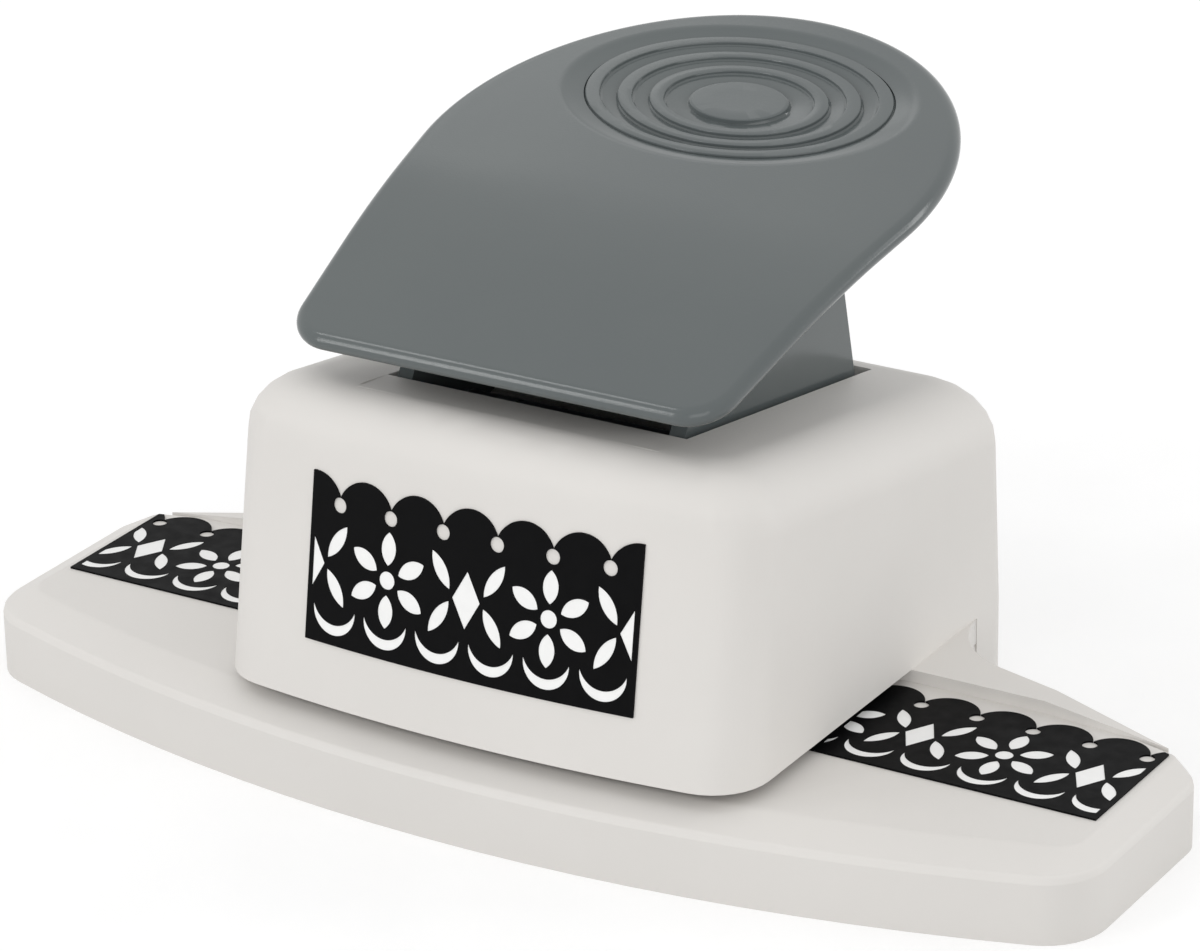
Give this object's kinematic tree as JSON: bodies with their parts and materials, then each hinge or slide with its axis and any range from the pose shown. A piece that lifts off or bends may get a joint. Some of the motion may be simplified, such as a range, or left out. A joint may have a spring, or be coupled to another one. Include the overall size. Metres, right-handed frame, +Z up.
{
  "type": "border punch",
  "caption": "Desk border punch with a ringed paddle lever, a drafted housing over a bowed deck, and a spring-returned patterned punch and die set for paper edges.",
  "frame": {"origin": "middle of the overall box, on the table", "axes": "+X along the deck, +Y to the rear, away from the user's paper edge, +Z up"},
  "size_m": [0.186, 0.108, 0.0919],
  "materials": {
    "white_plastic": "fine moulded matte, warm off-white",
    "grey_plastic": "satin moulded grey",
    "black_print": "printed film, satin",
    "tool_steel": "ground",
    "zinc_plate": "zinc plated",
    "die_cast": "as cast",
    "bush_brass": "turned"
  },
  "bodies": {
    "frame": {"base_shell": "white_plastic", "bottom_cover": "white_plastic", "bottom_screws": "zinc_plate", "deck_film_left": "black_print", "deck_film_right": "black_print", "die_plate": "tool_steel", "die_spacer": "tool_steel", "guide_plate": "tool_steel", "die_screws": "zinc_plate", "guide_posts": "tool_steel", "post_clips": "zinc_plate", "return_springs": "zinc_plate", "housing": "white_plastic", "housing_screws": "zinc_plate", "front_label": "black_print", "pivot_pin": "tool_steel", "pivot_clips": "zinc_plate"},
    "lever": {"lever_cover": "grey_plastic", "lever_arm": "grey_plastic", "lever_screws": "zinc_plate", "press_bar": "tool_steel"},
    "carrier": {"punch_set": "tool_steel", "punch_carrier": "die_cast", "punch_screws": "zinc_plate", "post_bushes": "bush_brass", "press_block": "tool_steel"}
  },
  "joints": [
    {"name": "lever_hinge", "type": "hinge", "parent": "frame", "child": "lever", "pos_m": [0, -0.032, 0.0505], "axis": [-1, 0, 0], "range_deg": [0, 15], "stiffness_Nm_per_rad": 2, "springref_deg": -6.88},
    {"name": "carrier_slide", "type": "slide", "parent": "frame", "child": "carrier", "axis": [0, 0, -1], "range_m": [0, 0.0052], "deforming": ["return_springs"]}
  ],
  "couplings": [
    {"joint": "carrier_slide", "follows": "lever_hinge", "m_per_rad": 0.019686}
  ]
}
